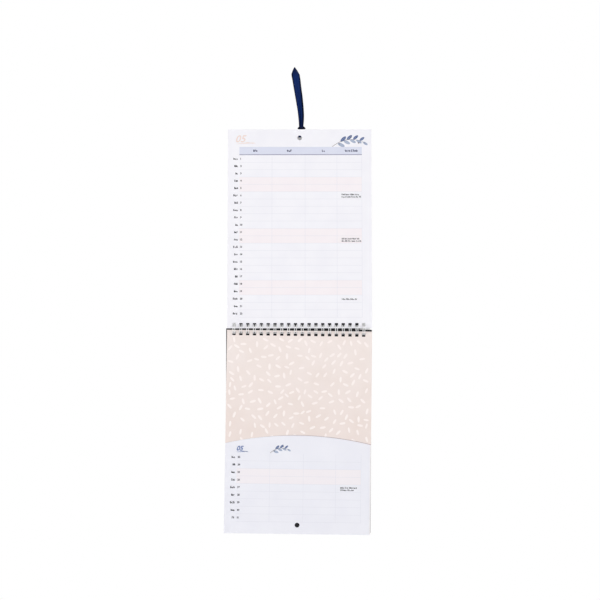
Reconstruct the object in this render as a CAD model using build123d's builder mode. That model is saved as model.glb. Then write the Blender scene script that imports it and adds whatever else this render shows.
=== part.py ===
"""Wall calendar with a twin-loop wire binding, hung by a ribbon and open at one month.

X runs to the right, Y into the wall and Z up. The origin is the top of the ribbon
loop's inside, where the calendar hangs. Lengths are in millimetres, angles in degrees.
"""

import math
import os
import random

from build123d import *

# Leaves and covers
leaf_width = 180.0
leaf_height = 250.0
leaf_thickness = 0.25
turned_thickness = 0.95
remaining_thickness = 0.80
cover_thickness = 0.45
cover_overhang = 0.1
air = 0.10
hole_radius = 3.0
hole_inset = 10.8

# Twin-loop wire and its punched holes
wire_diameter = 0.9
wire_sides = 5
ring_radius = 5.4
ring_sides = 11
twin_gap = 2.3
loop_pitch = 25.4 / 3
bend_radius = 0.7
tip_gap = 0.25
stub_length = 1.5
punch_width = 4.1
punch_height = 4.4
edge_margin = 2.1
row_side_margin = 8.0
row_shift = -0.9
wire_clearance = 0.2

# How the leaves hang
wire_tilt = 0.42
leaf_tilt = 0.75
cover_tilt = 0.60
cover_play = -0.3
cover_raise = 0.35
upper_lean = 0.8

# Pocket on the hanging leaf
pocket_card = 0.30
pocket_gap = 0.40
pocket_side_height = 110.2
pocket_crown = 10.3
pocket_inset = 1.2
glue_width = 4.0
bulge_thickness = 0.85

# Print
ink = 0.03
header_drop = 22.3
header_height = 9.3
header_line = 1.0
row_pitch = 9.26
row_count = 22
pocket_row_count = 9
print_left = -75.5
print_right = 78.0
column_places = (-34.6, 6.8, 46.7, 77.85)
rule_width = 0.3
weekend_rows = (3, 10, 17)
weekend_length = 2
pocket_weekend_row = 2
pocket_print_rise = 14.6
grain_length = 6.4
grain_width = 2.4
grain_columns = 15
grain_rows = 12
grain_margin = 2.5
grain_jitter = 2.1

# Ribbon: its loop leans to the left, so the pages hang right of the origin
page_x = 6.3
ribbon_rise = 79.0
ribbon_thickness = 0.5
ribbon_gap = 5.2
ribbon_tip = 0.9
neck_depth = 1.8
collar_width = 8.8
collar_height = 2.8
collar_depth = 3.2
collar_shift = 2.4
collar_round = 1.2
band_width = 3.2
band_top_width = 5.6
band_thickness = 0.25
plug_height = 1.6
plug_rise = 1.5

# The ribbon loop's left and right edge from its tip: (distance to the right, share of the way down)
loop_left_edge = ((-2.5, 0.052), (-4.3, 0.11), (-1.6, 0.22), (1.6, 0.5), (5.2, 0.8), (5.7, 1))
loop_right_edge = ((2.3, 0.052), (5.4, 0.12), (8.1, 0.29), (10.6, 0.6), (11.8, 0.85), (12.0, 1))

# Its half outline from the side: (share of the half gap, share of the way down), then the slope at its foot
loop_side_points = ((1, 0.5), (0.85, 0.1))
loop_foot_slope = 0.05

# Depth of each layer behind the ring's centre line, from the front
pocket_depth = pocket_card + pocket_gap + ink
leaf_front = pocket_depth / 2
leaf_rear = leaf_front + leaf_thickness
remaining_front = leaf_rear + air
remaining_rear = remaining_front + remaining_thickness
spine_depth = remaining_rear + air + wire_diameter / 2
back_cover_front = spine_depth + wire_diameter / 2 + air
back_cover_rear = back_cover_front + cover_thickness
turned_front = pocket_depth / 2 + air
turned_rear = turned_front + turned_thickness
front_cover_front = turned_rear + band_thickness + air
front_cover_rear = front_cover_front + cover_thickness

# Row of loops
loop_count = int((leaf_width - 2 * row_side_margin) / loop_pitch) + 1
row_length = (loop_count - 1) * loop_pitch
ring_inside = ring_radius * math.cos(math.pi / ring_sides) - wire_diameter / 2


def hole_start(depth, tilt):
    """Distance from the ring's centre line to the near edge of the holes of a hanging sheet."""
    skew = row_length / 2 * math.tan(math.radians(abs(tilt - wire_tilt)))
    return math.sqrt(ring_inside**2 - depth**2) - skew - wire_clearance


pack_start = hole_start(remaining_rear, leaf_tilt)
upper_start = hole_start(front_cover_rear, 0)
back_cover_start = edge_margin - cover_raise

# Where the ring's centre line lies: the front cover's top edge hangs straight below the origin
upper_top = upper_start - edge_margin + leaf_height
cover_mid = (front_cover_front + front_cover_rear) / 2
lean = math.radians(upper_lean)
ring_centre = Vector(
    page_x + row_shift,
    -cover_mid * math.cos(lean) - upper_top * math.sin(lean),
    -ribbon_rise + cover_mid * math.sin(lean) - upper_top * math.cos(lean),
)


def sheet_plane(tilt, play=0):
    """Plane on the ring's centre line: X along the sheet's edge, Y up the sheet, Z to the viewer."""
    across = Vector(math.cos(math.radians(tilt)), 0, -math.sin(math.radians(tilt)))
    return Plane(ring_centre + across * play, x_dir=across, z_dir=(0, -1, 0))


upper_plane = Plane(ring_centre, x_dir=(1, 0, 0), z_dir=(0, -math.cos(lean), math.sin(lean)))
leaf_plane = sheet_plane(leaf_tilt)
cover_plane = sheet_plane(cover_tilt, cover_play)

os.makedirs("parts", exist_ok=True)


def finish(part, name):
    """Label a finished piece and write its file."""
    part.label = name
    export_step(part, f"parts/{name}.step")


def sheet_outline(way, start, width=leaf_width, hanging_hole=True):
    """Outline of a sheet with its binding holes; way is 1 above the ring and -1 below it."""
    with Locations((-row_shift, way * (start - edge_margin + leaf_height / 2))):
        Rectangle(width, leaf_height)
    with Locations((0, way * (start + punch_height / 2))):
        with GridLocations(loop_pitch, 1, loop_count, 1):
            Rectangle(punch_width, punch_height, mode=Mode.SUBTRACT)
    if hanging_hole:
        with Locations((-row_shift, way * (start - edge_margin + leaf_height - hole_inset))):
            Circle(hole_radius, mode=Mode.SUBTRACT)


# Front cover, the rearmost sheet of the turned-up half
with BuildPart() as front_cover:
    with BuildSketch(upper_plane.offset(-front_cover_rear)):
        sheet_outline(1, upper_start)
    extrude(amount=cover_thickness)
finish(front_cover.part, "front_cover")

# Leaves of the past months, turned up as one block
with BuildPart() as turned_leaves:
    with BuildSketch(upper_plane.offset(-turned_rear)):
        sheet_outline(1, upper_start)
    extrude(amount=turned_thickness)
finish(turned_leaves.part, "turned_leaves")

# Leaf of the open month
with BuildPart() as lower_leaf:
    with BuildSketch(leaf_plane.offset(-leaf_rear)):
        sheet_outline(-1, pack_start)
    extrude(amount=leaf_thickness)
finish(lower_leaf.part, "lower_leaf")

leaf_left = -row_shift - leaf_width / 2
leaf_foot = -(pack_start - edge_margin + leaf_height)
pocket_side_top = leaf_foot + pocket_side_height


def arched_outline(width):
    """Sheet outline from its foot up to the pocket's mouth, a shallow arch from side to side."""
    right = leaf_left + width
    left_end, right_end = (leaf_left, pocket_side_top), (right, pocket_side_top)
    with BuildLine() as outline:
        Polyline(left_end, (leaf_left, leaf_foot), (right, leaf_foot), right_end)
        ThreePointArc(right_end, (leaf_left + width / 2, pocket_side_top + pocket_crown), left_end)
    make_face(outline.edges())
    with Locations((-row_shift, leaf_foot + hole_inset)):
        Circle(hole_radius, mode=Mode.SUBTRACT)


# Leaves of the coming months: thin at the wire, thicker where their pockets lie
with BuildPart() as remaining_leaves:
    with BuildSketch(leaf_plane.offset(-remaining_rear)):
        sheet_outline(-1, pack_start)
    extrude(amount=remaining_thickness)
    with BuildSketch(leaf_plane.offset(-remaining_rear)):
        arched_outline(leaf_width)
    extrude(amount=-bulge_thickness)
finish(remaining_leaves.part, "remaining_leaves")

# Back cover: a plain dark card without a hanging hole
with BuildPart() as back_cover:
    with BuildSketch(cover_plane.offset(-back_cover_rear)):
        sheet_outline(-1, back_cover_start, leaf_width + 2 * cover_overhang, False)
    extrude(amount=cover_thickness)
finish(back_cover.part, "back_cover")

# Pocket front, a card glued to the leaf along three sides
pocket_rear = leaf_front - pocket_gap
with BuildPart() as pocket_front:
    with BuildSketch(leaf_plane.offset(-pocket_rear)):
        arched_outline(leaf_width - pocket_inset)
    extrude(amount=pocket_card)
finish(pocket_front.part, "pocket_front")

# Glue lines that hold the pocket front to the leaf
glue_plane = leaf_plane.offset(-leaf_front)
pocket_right = leaf_left + leaf_width - pocket_inset


def glue_line(left, right, bottom, top, name):
    """Strip of dried glue as thick as the pocket's gap."""
    with BuildPart() as line:
        with BuildSketch(glue_plane):
            with Locations(((left + right) / 2, (bottom + top) / 2)):
                Rectangle(right - left, top - bottom)
        extrude(amount=pocket_gap)
    finish(line.part, name)


glue_top = leaf_foot + glue_width
glue_line(leaf_left, leaf_left + glue_width, glue_top, pocket_side_top, "pocket_glue_left")
glue_line(pocket_right - glue_width, pocket_right, glue_top, pocket_side_top, "pocket_glue_right")
glue_line(leaf_left, pocket_right, leaf_foot, glue_top, "pocket_glue_foot")


def grain_places():
    """Scattered places and angles of the rice-grain marks, one in each cell of a loose grid."""
    draw = random.Random(7)
    cell_x = (leaf_width - 2 * grain_margin) / grain_columns
    grain_top = -(pack_start + punch_height + grain_margin)
    cell_y = (grain_top - pocket_side_top) / grain_rows
    for row in range(grain_rows):
        for column in range(grain_columns):
            x = leaf_left + grain_margin + (column + 0.5) * cell_x
            y = grain_top - (row + 0.5) * cell_y
            x += draw.uniform(-grain_jitter, grain_jitter)
            y += draw.uniform(-grain_jitter, grain_jitter)
            yield x, y, draw.uniform(0, 180)


grain_corners = (
    (-grain_length / 2, 0),
    (0, -grain_width / 2),
    (grain_length / 2, 0),
    (0, grain_width / 2),
)

# Peach print of the leaf, with grain-shaped windows where the white paper shows
field_top = -(pack_start - edge_margin)
with BuildPart() as peach_field:
    with BuildSketch(glue_plane):
        with Locations((-row_shift, (field_top + pocket_side_top) / 2)):
            Rectangle(leaf_width, field_top - pocket_side_top)
        with Locations((0, -(pack_start + punch_height / 2))):
            with GridLocations(loop_pitch, 1, loop_count, 1):
                Rectangle(punch_width, punch_height, mode=Mode.SUBTRACT)
        for x, y, angle in grain_places():
            with Locations(Location((x, y), angle)):
                Polygon(*grain_corners, mode=Mode.SUBTRACT)
    extrude(amount=ink)
finish(peach_field.part, "peach_field")


def print_bars(plane, spans, name):
    """Thin flat bars of print; each span is (left, right, bottom, top) on the plane."""
    with BuildPart() as bars:
        with BuildSketch(plane):
            for left, right, bottom, top in spans:
                with Locations(((left + right) / 2, (bottom + top) / 2)):
                    Rectangle(right - left, top - bottom)
        extrude(amount=ink)
    finish(bars.part, name)


def table_print(plane, first_row_top, rows, weekends, name):
    """Weekend bands and column rules of a table of days; rows count down from its top."""
    bottom = first_row_top - rows * row_pitch
    half_rule = rule_width / 2
    columns = [place - row_shift for place in column_places]
    column_starts = [print_left - row_shift, *[x + half_rule for x in columns[:-1]]]
    bands = []
    for row in weekends:
        top = first_row_top - row * row_pitch
        for left, right in zip(column_starts, columns):
            bands.append((left, right - half_rule, top - weekend_length * row_pitch, top))
    rules = [(x - half_rule, x + half_rule, bottom, first_row_top) for x in columns]
    print_bars(plane, bands, f"{name}_weekend_bands")
    print_bars(plane, rules, f"{name}_column_rules")


# Print of the turned-up page: header bar with its darker foot line, then the table of days
turned_face = upper_plane.offset(-turned_front)
header_foot = upper_top - header_drop - header_height
header_span = (print_left - row_shift, print_right - row_shift)
print_bars(turned_face, [(*header_span, header_foot, header_foot + header_height)], "header_bar")
print_bars(turned_face, [(*header_span, header_foot - header_line, header_foot)], "header_line")
table_print(turned_face, header_foot - header_line, row_count, weekend_rows, "page")

# Print of the pocket front: the last rows of the same table
pocket_face = leaf_plane.offset(-pocket_rear + pocket_card)
pocket_rows_top = leaf_foot + pocket_print_rise + pocket_row_count * row_pitch
table_print(pocket_face, pocket_rows_top, pocket_row_count, (pocket_weekend_row,), "pocket")


# Twin-loop wire: one length of wire that runs along the spine and round each loop and back
ring_plane = Plane(
    ring_centre,
    x_dir=(math.cos(math.radians(wire_tilt)), 0, -math.sin(math.radians(wire_tilt))),
    z_dir=(math.sin(math.radians(wire_tilt)), 0, math.cos(math.radians(wire_tilt))),
)
half_twin = twin_gap / 2
spine_radius = math.hypot(ring_radius, bend_radius)
start_angle = math.asin(spine_depth / spine_radius) - math.atan(bend_radius / ring_radius)
seam_angle = (bend_radius + tip_gap + half_twin) / ring_radius
ring_angles = [
    start_angle - (2 * math.pi - seam_angle) * step / ring_sides for step in range(ring_sides + 1)
]


def on_ring(x, angle, along=0.0):
    """Point of the ring, at an angle from its lowest point, moved along the tangent there."""
    return (
        x,
        ring_radius * math.sin(angle) + along * math.cos(angle),
        -ring_radius * math.cos(angle) + along * math.sin(angle),
    )


def loop_route(x):
    """One twin loop: off the spine, round the ring, across at the tip and round again."""
    corner = bend_radius * (1 - math.sqrt(0.5))
    tip_side = half_twin * math.sqrt(0.5)
    tip_angle = ring_angles[-1]
    return [
        on_ring(x - half_twin - bend_radius, start_angle, bend_radius),
        on_ring(x - half_twin - corner, start_angle, corner),
        *[on_ring(x - half_twin, angle) for angle in ring_angles],
        on_ring(x - tip_side, tip_angle, -tip_side),
        on_ring(x, tip_angle, -half_twin),
        on_ring(x + tip_side, tip_angle, -tip_side),
        *[on_ring(x + half_twin, angle) for angle in reversed(ring_angles)],
        on_ring(x + half_twin + corner, start_angle, corner),
        on_ring(x + half_twin + bend_radius, start_angle, bend_radius),
    ]


wire_route = []
for loop in range(loop_count):
    wire_route += loop_route(loop * loop_pitch - row_length / 2)
first_x, last_x = wire_route[0][0], wire_route[-1][0]
spine_y, spine_z = wire_route[0][1:]
wire_route.insert(0, (first_x - stub_length, spine_y, spine_z))
wire_route.append((last_x + stub_length, spine_y, spine_z))

with BuildPart() as wire_binding:
    with BuildLine(ring_plane) as wire_path:
        Polyline(*wire_route)
    with BuildSketch(Plane(wire_path.line @ 0, z_dir=wire_path.line % 0)):
        RegularPolygon(wire_diameter / 2, wire_sides)
    sweep(path=wire_path.line, transition=Transition.RIGHT)
finish(wire_binding.part, "wire_binding")

# Hanging ribbon: side view of the loop, cut to its front view
collar_foot = -ribbon_rise + air
collar_middle = collar_foot + collar_height / 2
collar_top = collar_foot + collar_height
hole_height = upper_top - hole_inset
plug_foot = hole_height + plug_rise - plug_height / 2
band_top = upper_top + air + collar_height / 2
band_corners = (
    (-row_shift - band_width / 2, plug_foot),
    (-row_shift + band_width / 2, plug_foot),
    (-row_shift + collar_shift + band_top_width / 2, band_top),
    (-row_shift + collar_shift - band_top_width / 2, band_top),
)


def loop_from_the_side(half_gap, foot_half, foot, top, mode):
    """Face of the loop seen from the side: a drop as wide as its gap, with a flat foot."""
    side = [(foot_half, foot), *[(half_gap * out, foot * down) for out, down in loop_side_points], (0, top)]
    with BuildLine() as outline:
        Spline(*side, tangents=((loop_foot_slope, 1), (-1, 0)))
        Spline(*[(-y, z) for y, z in side], tangents=((-loop_foot_slope, 1), (1, 0)))
        Line((-foot_half, foot), (foot_half, foot))
    make_face(outline.edges(), mode=mode)


def loop_edge(points):
    """Edge of the loop seen from the front, from its tip down to the collar."""
    Spline((0, ribbon_tip), *[(x, down * collar_middle) for x, down in points])


with BuildPart() as hanging_ribbon:
    with BuildSketch(Plane.YZ):
        outer_half = ribbon_gap / 2 + ribbon_thickness
        loop_from_the_side(outer_half, neck_depth / 2, collar_middle, ribbon_thickness, Mode.ADD)
        inner_half = neck_depth / 2 - ribbon_thickness
        loop_from_the_side(ribbon_gap / 2, inner_half, collar_top, 0, Mode.SUBTRACT)
    extrude(amount=collar_width * 2, both=True)
    with BuildSketch(Plane.XZ):
        with BuildLine() as outline:
            loop_edge(loop_left_edge)
            loop_edge(loop_right_edge)
            Line((loop_left_edge[-1][0], collar_middle), (loop_right_edge[-1][0], collar_middle))
        make_face(outline.edges())
    extrude(amount=ribbon_gap * 2, both=True, mode=Mode.INTERSECT)
    # Collar of the hitch, tight on the front cover's top edge
    with BuildSketch(Plane.YZ.offset(page_x + collar_shift)):
        with Locations((0, collar_middle)):
            RectangleRounded(collar_depth, collar_height, collar_round)
    extrude(amount=collar_width / 2, both=True)
    # Bands from the collar to the hanging hole, one each side of the front cover
    for face_depth in (front_cover_front, front_cover_rear + band_thickness):
        with BuildSketch(upper_plane.offset(-face_depth)):
            Polygon(*band_corners, align=None)
        extrude(amount=band_thickness)
    # The ribbon's turn through the hole, pulled up against its edge
    with BuildSketch(upper_plane.offset(-front_cover_rear - band_thickness)):
        with Locations((-row_shift, hole_height + plug_rise)):
            Rectangle(band_width, plug_height)
    extrude(amount=cover_thickness + 2 * band_thickness)
finish(hanging_ribbon.part, "hanging_ribbon")
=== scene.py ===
"""Looks of the wall calendar: paper, print, twin-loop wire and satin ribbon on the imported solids.

The frame is the part's own: X to the right, Y into the wall, Z up, origin at the inside of
the ribbon loop's top. Shapes are worked out in millimetres and put into meshes in metres.
"""

import math
import random

import bpy
import numpy as np
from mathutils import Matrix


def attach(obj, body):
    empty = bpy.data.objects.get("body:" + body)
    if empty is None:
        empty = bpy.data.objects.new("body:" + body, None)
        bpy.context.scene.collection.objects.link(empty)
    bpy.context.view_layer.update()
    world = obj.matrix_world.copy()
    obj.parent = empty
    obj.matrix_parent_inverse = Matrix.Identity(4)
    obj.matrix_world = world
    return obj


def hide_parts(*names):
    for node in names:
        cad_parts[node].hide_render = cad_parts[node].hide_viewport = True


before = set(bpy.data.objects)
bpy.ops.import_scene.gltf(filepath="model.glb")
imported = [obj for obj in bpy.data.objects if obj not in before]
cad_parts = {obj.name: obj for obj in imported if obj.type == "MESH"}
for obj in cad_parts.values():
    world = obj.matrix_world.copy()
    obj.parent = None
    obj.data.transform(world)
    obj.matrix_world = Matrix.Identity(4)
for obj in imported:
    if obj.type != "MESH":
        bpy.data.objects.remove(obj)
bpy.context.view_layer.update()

# Sizes of the solids, in millimetres

MM = 0.001
PAGE_WIDTH, PAGE_HEIGHT = 180.0, 250.0
PAGE_MIDDLE = 0.9                             # the pages' middle, right of the row of loops' middle
RING_CENTRE = np.array((5.4, -5.498378, -330.238846))
WIRE_TILT, LEAF_TILT, COVER_TILT = (math.radians(a) for a in (0.42, 0.75, 0.6))   # turned about Y
UPPER_LEAN = math.radians(0.8)                # of the turned-up pages, out from the wall at their foot
PITCH, LOOPS = 25.4 / 3, 20
LOOP_MIDDLES = (np.arange(LOOPS) - (LOOPS - 1) / 2) * PITCH
PUNCH_WIDTH, PUNCH_HEIGHT = 4.1, 4.4
EDGE_MARGIN = 2.1                             # from a sheet's edge to its punched holes
UPPER_START, LEAF_START, COVER_START = 3.391126, 3.818876, 1.75     # from the ring's middle to the holes
UPPER_TOP = UPPER_START - EDGE_MARGIN + PAGE_HEIGHT
LEAF_FOOT = -(LEAF_START - EDGE_MARGIN + PAGE_HEIGHT)
UPPER_FACE, LEAF_FACE, POCKET_FACE = 0.465, 0.365, -0.335     # depths behind the ring's middle
COVER_DEPTH, CARD_THICKNESS = 2.84, 0.45
POCKET_SIDE, POCKET_CROWN = 110.2, 10.3
INK, FINE_INK = 0.03, 0.012                   # thickness of a printed field and of what is printed on it
ROW_PITCH, UPPER_ROWS, POCKET_ROWS = 9.26, 22, 9
HEADER_FOOT = UPPER_TOP - 31.6
UPPER_ROWS_TOP = HEADER_FOOT - 1.0
POCKET_ROWS_TOP = LEAF_FOOT + 14.6 + POCKET_ROWS * ROW_PITCH
TABLE_LEFT, TABLE_RIGHT = PAGE_MIDDLE - 75.5, PAGE_MIDDLE + 78.0


# The camera, at the photograph's viewing angle

CAMERA_PLACE, CAMERA_TURN, CAMERA_LENS = (15.01, -1500.0, -378.6), (93.246, 0, 0.316), 72.29
camera_data = bpy.data.cameras.new("camera")
camera_data.lens = CAMERA_LENS
camera_data.clip_start, camera_data.clip_end = 0.01, 50
camera = bpy.data.objects.new("camera", camera_data)
camera.location = [v * MM for v in CAMERA_PLACE]
camera.rotation_euler = [math.radians(v) for v in CAMERA_TURN]
bpy.context.scene.collection.objects.link(camera)
bpy.context.scene.camera = camera


# Planes of the sheets: points are given across and up the sheet, and by their depth

class Sheet:
    """A sheet's plane through the ring's middle, with its axes across, up and towards the viewer."""

    def __init__(self, across, up, out, shift=0.0):
        self.axes = np.array((across, up, out), float)
        self.middle = RING_CENTRE + shift * self.axes[0]

    def place(self, x, y, depth):
        """Ring's middle plus x across, y up and depth away from the viewer, as an array of points."""
        flat = np.stack(np.broadcast_arrays(x, y, -np.asarray(depth, float)), -1)
        return self.middle + flat @ self.axes


UPPER = Sheet(
    (1, 0, 0),
    (0, math.sin(UPPER_LEAN), math.cos(UPPER_LEAN)),
    (0, -math.cos(UPPER_LEAN), math.sin(UPPER_LEAN)),
)
LEAF = Sheet(
    (math.cos(LEAF_TILT), 0, -math.sin(LEAF_TILT)),
    (math.sin(LEAF_TILT), 0, math.cos(LEAF_TILT)),
    (0, -1, 0),
)
COVER = Sheet(
    (math.cos(COVER_TILT), 0, -math.sin(COVER_TILT)),
    (math.sin(COVER_TILT), 0, math.cos(COVER_TILT)),
    (0, -1, 0),
    shift=-0.3,
)
WIRE = Sheet(
    (math.cos(WIRE_TILT), 0, -math.sin(WIRE_TILT)),
    (math.sin(WIRE_TILT), 0, math.cos(WIRE_TILT)),
    (0, -1, 0),
)


# Meshes from arrays

def make_piece(name, points, faces, material, body, slot, smooth=False):
    """A new piece from points in millimetres and faces, riding on a body."""
    mesh = bpy.data.meshes.new(name)
    mesh.from_pydata((points * MM).tolist(), [], faces if isinstance(faces, list) else faces.tolist())
    mesh.validate()
    mesh.materials.append(material)
    mesh.polygons.foreach_set("use_smooth", np.full(len(mesh.polygons), smooth))
    piece = bpy.data.objects.new(name, mesh)
    bpy.context.scene.collection.objects.link(piece)
    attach(piece, body)
    return piece


def grid_faces(rows, columns, closed=False):
    """Quads of a grid of points, row by row; a closed grid joins its last column to its first."""
    wide = columns if closed else columns - 1
    i, j = np.meshgrid(np.arange(rows - 1) * columns, np.arange(wide), indexing="ij")
    k = (j + 1) % columns
    return np.stack((i + j, i + k, i + columns + k, i + columns + j), -1).reshape(-1, 4)


def thicken(piece, thickness):
    """A wall of even thickness in millimetres, half of it on each side of the piece's surface."""
    wall = piece.modifiers.new("thickness", "SOLIDIFY")
    wall.thickness, wall.offset = thickness * MM, 0


def put_uv(piece, u, v):
    """UV map from one pair of values for each point."""
    mesh = piece.data
    corners = np.empty(len(mesh.loops), np.int32)
    mesh.loops.foreach_get("vertex_index", corners)
    values = np.stack((np.ravel(u), np.ravel(v)), -1)[corners]
    mesh.uv_layers.new(name="UVMap").data.foreach_set("uv", values.astype(np.float32).ravel())


def prisms(outlines, sheet, depth, thickness):
    """Thin prisms on a sheet: each of the outlines (count, corners, 2) is lifted by a thickness.

    The outline at the depth and the one in front of it are joined by one quad for each side.
    """
    outlines = np.asarray(outlines, float)
    count, corners = outlines.shape[:2]
    front = sheet.place(outlines[..., 0], outlines[..., 1], depth - thickness)
    back = sheet.place(outlines[..., 0], outlines[..., 1], depth)
    points = np.stack((front, back), 1).reshape(-1, 3)
    first = np.arange(count)[:, None] * 2 * corners
    ring = np.arange(corners)
    following = (ring + 1) % corners
    caps = np.concatenate((first + ring, first + corners + ring[::-1])).tolist()
    sides = np.stack(
        (first + ring, first + corners + ring, first + corners + following, first + following), -1
    ).reshape(-1, 4).tolist()
    return points, caps + sides


def bars(spans):
    """Rectangles with their corners anticlockwise, from (left, right, bottom, top) rows."""
    left, right, bottom, top = np.asarray(spans, float).T
    return np.stack((np.stack((left, bottom), -1), np.stack((right, bottom), -1),
                     np.stack((right, top), -1), np.stack((left, top), -1)), 1)


def set_out(x, y, along, aside, angle):
    """Points that lie along and aside of a direction from (x, y); the angle is in degrees."""
    lean = np.radians(angle)
    return np.stack((x + along * np.cos(lean) - aside * np.sin(lean),
                     y + along * np.sin(lean) + aside * np.cos(lean)), -1)


def strokes(rows, corners=8):
    """Pen strokes with round ends, from (x, y, length, thickness, angle in degrees) rows.

    A circle of the stroke's thickness is cut in two, and its halves are moved apart along it.
    """
    x, y, length, thick, angle = np.asarray(rows, float).T[:, :, None]
    turn = (np.arange(corners) + 0.5) / corners * 2 * math.pi
    half = np.clip(length - thick, 0, None) / 2
    along = np.sign(np.cos(turn)) * half + thick / 2 * np.cos(turn)
    return set_out(x, y, along, thick / 2 * np.sin(turn), angle)


def lenses(rows, corners, sharp):
    """Lens outlines, from (x, y, length, width, angle in degrees) rows.

    A turn goes once round each outline. Its cosine gives the place along the lens, and its sine
    to the power of sharp the place across it, so that a sharp above 1 points the two ends.
    """
    x, y, length, width, angle = np.asarray(rows, float).T[:, :, None]
    turn = np.arange(corners) / corners * 2 * math.pi
    along = length / 2 * np.cos(turn)
    aside = width / 2 * np.sign(np.sin(turn)) * np.abs(np.sin(turn)) ** sharp
    return set_out(x, y, along, aside, angle)


# Shader maths as Python

class Link:
    """A node's output: arithmetic on it adds Math nodes."""

    def __init__(self, finish, socket):
        self.finish, self.socket = finish, socket

    def _maths(self, operation, *values):
        """A Math node on numbers or links."""
        return self.finish.node("ShaderNodeMath", {"operation": operation}, dict(enumerate(values)))

    def __add__(self, other):
        return self._maths("ADD", self, other)

    def __sub__(self, other):
        return self._maths("SUBTRACT", self, other)

    def __rsub__(self, other):
        return self._maths("SUBTRACT", other, self)

    def __mul__(self, other):
        return self._maths("MULTIPLY", self, other)

    def __truediv__(self, other):
        return self._maths("DIVIDE", self, other)

    def __abs__(self):
        return self._maths("ABSOLUTE", self)

    def __radd__(self, other):
        return self._maths("ADD", other, self)

    def __rmul__(self, other):
        return self._maths("MULTIPLY", other, self)

    def sine(self):
        """Sine of a value in radians."""
        return self._maths("SINE", self)

    def fraction(self):
        """What is left of a value above the whole number below it."""
        return self._maths("FRACT", self)

    def between(self, low, high):
        """0 below low, 1 above high and a smooth step from one to the other."""
        return self.finish.node(
            "ShaderNodeMapRange", {"interpolation_type": "SMOOTHSTEP"}, {0: self, 1: low, 2: high}
        )


class Finish:
    """The nodes of one new material or of the world: node() adds any node, and surface() a shader."""

    def __init__(self, name, owners=bpy.data.materials):
        self.material = owners.new(name)
        self.material.use_nodes = True
        self.tree = self.material.node_tree
        self.tree.nodes.clear()

    def node(self, kind, settings=None, inputs=None, output=0):
        """A node of a type with its settings, then the values or links of its sockets."""
        made = self.tree.nodes.new(kind)
        for key, value in (settings or {}).items():
            setattr(made, key, value)
        for key, value in (inputs or {}).items():
            if isinstance(value, Link):
                self.tree.links.new(value.socket, made.inputs[key])
            else:
                made.inputs[key].default_value = value
        return Link(self, made.outputs[output]) if made.outputs else None

    def place(self, stretch=(1, 1, 1)):
        """Object coordinates, stretched."""
        at = self.node("ShaderNodeTexCoord", output="Object")
        return self.node("ShaderNodeMapping", inputs={"Vector": at, "Scale": stretch})

    def parts(self, vector):
        """The three numbers of a vector."""
        split = self.node("ShaderNodeSeparateXYZ", inputs={"Vector": vector})
        return [Link(self, s) for s in split.socket.node.outputs]

    def noise(self, vector, scale, detail):
        """Soft noise from 0 to 1, finer with its scale and rougher with its detail."""
        return self.node("ShaderNodeTexNoise", inputs={"Vector": vector, "Scale": scale, "Detail": detail})

    def mix(self, share, first, second):
        """Colour from first to second."""
        return self.node("ShaderNodeMix", {"data_type": "RGBA"}, {0: share, 6: first, 7: second}, 2)

    def bump(self, height, strength, distance):
        """Normal of a surface that a height raises by up to a distance in metres."""
        return self.node(
            "ShaderNodeBump", inputs={"Height": height, "Strength": strength, "Distance": distance}
        )

    def surface(self, **sockets):
        """The Principled shader with its sockets by name, written with _ for a space."""
        named = {key.replace("_", " "): value for key, value in sockets.items()}
        shader = self.node("ShaderNodeBsdfPrincipled", inputs=named)
        self.node("ShaderNodeOutputMaterial", inputs={"Surface": shader})
        return self.material


def tone(red, green, blue):
    """Linear colour of a tone given in 0 to 255 as a screen shows it."""
    return tuple(((c / 255 + 0.055) / 1.055) ** 2.4 for c in (red, green, blue)) + (1.0,)


# Finishes

def paper(name, light, dark, fibre=0.25, edge_step=None):
    """Uncoated paper or card: soft clouds of tone and fine fibres.

    On a block of leaves, its sides get darker lines one edge_step apart: painted shade in the gaps between
    the leaves' edges.
    """
    f = Finish(name)
    at = f.place()
    cloud = f.noise(at, 38, 4)
    fibres = f.noise(f.place((1, 1, 0.35)), 2600, 3)
    base = f.mix(cloud.between(0.3, 0.75), light, dark)
    if edge_step:
        normal = f.parts(f.node("ShaderNodeNewGeometry", output="Normal"))[1]
        side = 1 - abs(normal).between(0.4, 0.8)
        lines = (f.parts(at)[1] / (edge_step * MM)).fraction().between(0.55, 0.95)
        # painted shade in the gaps between the leaves, on the block's sides
        base = f.mix(side * lines * 0.55, base, tone(120, 118, 122))
    return f.surface(
        Base_Color=base,
        Roughness=0.72 + cloud * 0.12,
        Normal=f.bump(fibres, fibre, 4e-5),
        Specular_IOR_Level=0.25,
    )


def ink(name, light, dark, speckle=0.5):
    """Print on paper: the ink is a little uneven, and the paper's fibres show through it."""
    f = Finish(name)
    at = f.place()
    cloud = f.noise(at, 55, 3)
    dots = f.noise(at, 3200, 1)
    return f.surface(
        Base_Color=f.mix((cloud * (1 - speckle) + dots * speckle).between(0.3, 0.7), light, dark),
        Roughness=0.62 + dots * 0.16,
        Normal=f.bump(dots, 0.15, 3e-5),
        Specular_IOR_Level=0.3,
    )


def peach_ink():
    """Peach print that deepens from the wire down to the pocket's mouth."""
    mouth, wire_foot = -0.475, -0.340
    f = Finish("peach print")
    at = f.place()
    clouds = f.noise(at, 30, 4).between(0.35, 0.7)
    dots = f.noise(at, 3200, 1)
    lower = 1 - f.parts(at)[2].between(mouth, wire_foot)
    upper_tone = f.mix(clouds, tone(243, 232, 228), tone(241, 229, 224))
    lower_tone = f.mix(clouds, tone(240, 227, 222), tone(237, 223, 217))
    return f.surface(
        Base_Color=f.mix(lower, upper_tone, lower_tone),
        Roughness=0.64 + dots * 0.14,
        Normal=f.bump(dots, 0.15, 3e-5),
        Specular_IOR_Level=0.3,
    )


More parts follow.
